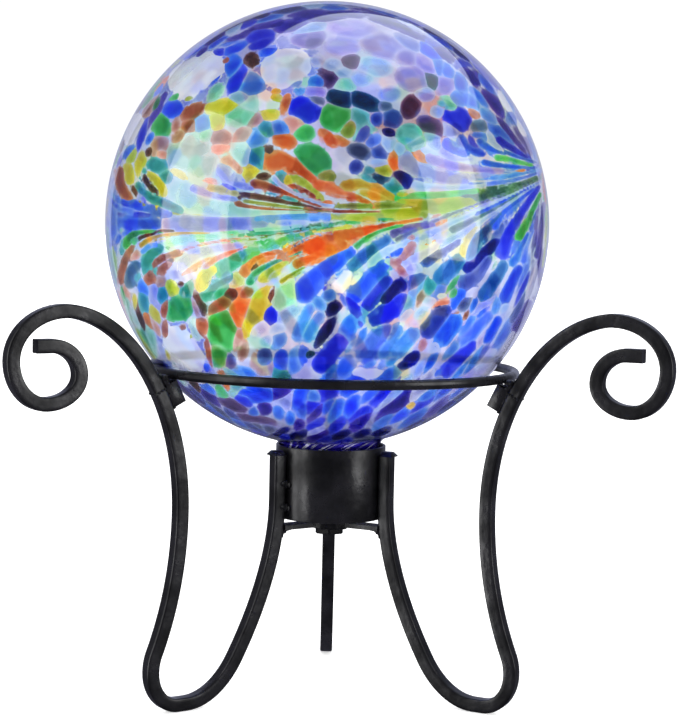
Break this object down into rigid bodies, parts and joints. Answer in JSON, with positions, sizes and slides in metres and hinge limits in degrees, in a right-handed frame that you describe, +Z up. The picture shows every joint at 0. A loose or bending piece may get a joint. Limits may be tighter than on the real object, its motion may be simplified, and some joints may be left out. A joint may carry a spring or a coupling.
{
  "type": "gazing ball",
  "caption": "Blown-glass gazing ball with an open neck, resting in a black steel stand whose legs end in scrolls.",
  "frame": {"origin": "on the ground, under the middle of the whole object's box", "axes": "+Z up; -Y towards the front, where the two front legs spread; +X to the right as seen from the front"},
  "size_m": [0.3538, 0.3298, 0.3981],
  "materials": {
    "glass": "clear blown glass with melted-in chips of blue, green, yellow and rust glass, glossy",
    "black_powder_coat": "satin black powder coat on mild steel bar"
  },
  "bodies": {
    "root": {"globe": "glass", "ring": "black_powder_coat", "collar": "black_powder_coat", "base_plate": "black_powder_coat", "hub_boss": "black_powder_coat", "leg_loop_left": "black_powder_coat", "leg_loop_right": "black_powder_coat", "leg_loop_rear": "black_powder_coat", "scroll_arm_left": "black_powder_coat", "scroll_arm_right": "black_powder_coat", "scroll_arm_rear": "black_powder_coat", "ring_lug_left": "black_powder_coat", "ring_lug_right": "black_powder_coat", "ring_lug_rear": "black_powder_coat"}
  },
  "joints": []
}
